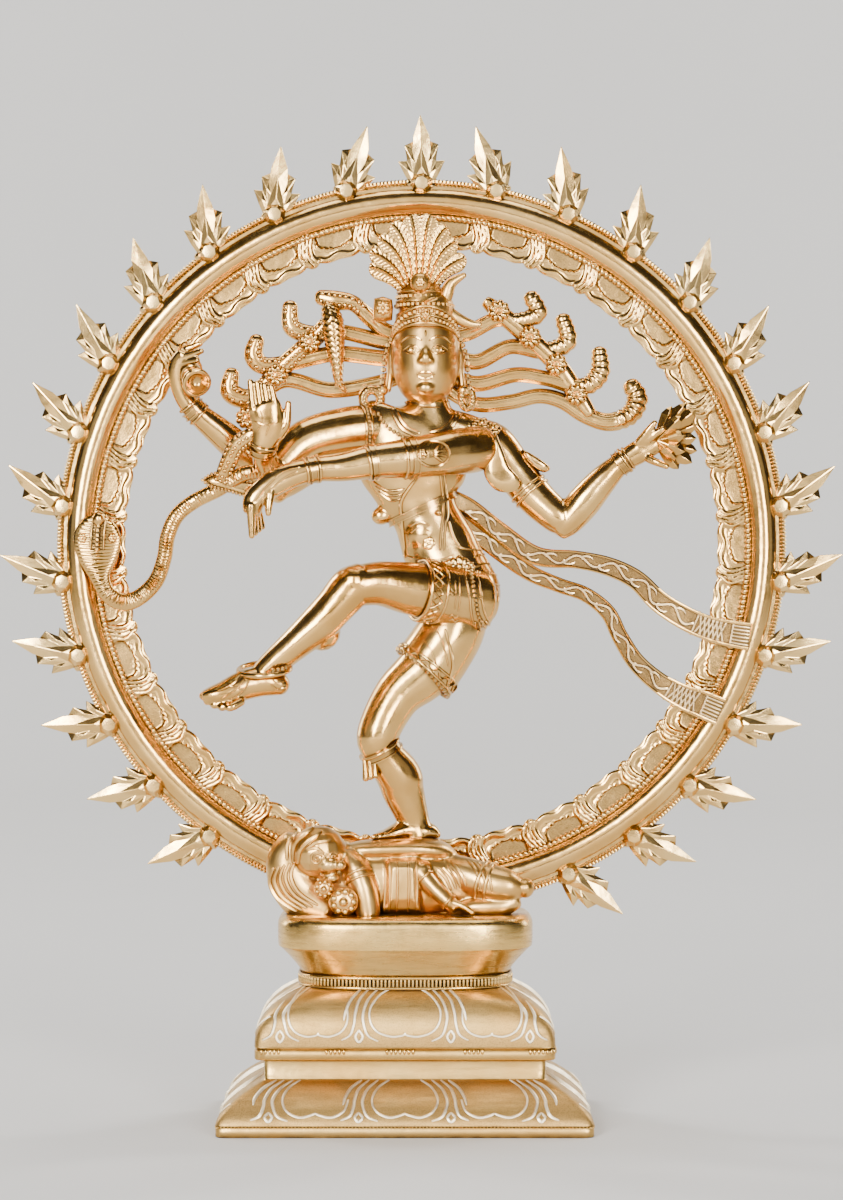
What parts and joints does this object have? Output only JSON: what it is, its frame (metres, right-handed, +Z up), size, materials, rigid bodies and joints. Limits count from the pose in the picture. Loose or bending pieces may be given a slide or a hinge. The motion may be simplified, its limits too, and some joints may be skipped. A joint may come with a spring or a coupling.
{
  "type": "dancing figure statue",
  "caption": "Brass statue of a many-armed dancer on a dwarf inside a ring of flames, standing on a hollow two-tier lotus pedestal.",
  "frame": {"origin": "on the ground, under the middle of the whole statue's box and of the flame arch", "axes": "+Z up, -Y towards the viewer of the dancer's face, +X to that viewer's right"},
  "size_m": [0.4212, 0.13, 0.5],
  "materials": {
    "pedestal_brass": "polished, with chased petals on a frosted ground",
    "arch_brass": "polished, darkened in the carved leaf band",
    "figure_brass": "polished, darkened in the hollows",
    "flame_brass": "filed facets, dull at the brazed root",
    "pin_brass": "drawn rod, as cut",
    "fixing_steel": "turned, bright"
  },
  "bodies": {
    "root": {"plinth": "pedestal_brass", "lotus_pedestal": "pedestal_brass", "flame_arch": "arch_brass", "standing_leg": "figure_brass", "raised_leg": "figure_brass", "torso": "figure_brass", "head": "figure_brass", "crown": "figure_brass", "hair_left": "figure_brass", "hair_right": "figure_brass", "blessing_arm": "figure_brass", "drum_arm": "figure_brass", "hand_drum": "figure_brass", "crossing_arm": "figure_brass", "fire_arm": "figure_brass", "hand_flame": "figure_brass", "snake": "figure_brass", "sash_upper": "figure_brass", "sash_lower": "figure_brass", "dwarf": "figure_brass", "flame_01": "flame_brass", "flame_02": "flame_brass", "flame_03": "flame_brass", "flame_04": "flame_brass", "flame_05": "flame_brass", "flame_06": "flame_brass", "flame_07": "flame_brass", "flame_08": "flame_brass", "flame_09": "flame_brass", "flame_10": "flame_brass", "flame_11": "flame_brass", "flame_12": "flame_brass", "flame_13": "flame_brass", "flame_14": "flame_brass", "flame_15": "flame_brass", "flame_16": "flame_brass", "flame_17": "flame_brass", "flame_18": "flame_brass", "flame_19": "flame_brass", "flame_20": "flame_brass", "flame_21": "flame_brass", "flame_22": "flame_brass", "flame_23": "flame_brass", "flame_24": "flame_brass", "flame_25": "flame_brass", "flame_26": "flame_brass", "arch_pin": "pin_brass", "foot_dowel": "pin_brass", "dwarf_studs": "fixing_steel", "stud_washers": "fixing_steel", "stud_nuts": "fixing_steel"}
  },
  "joints": []
}
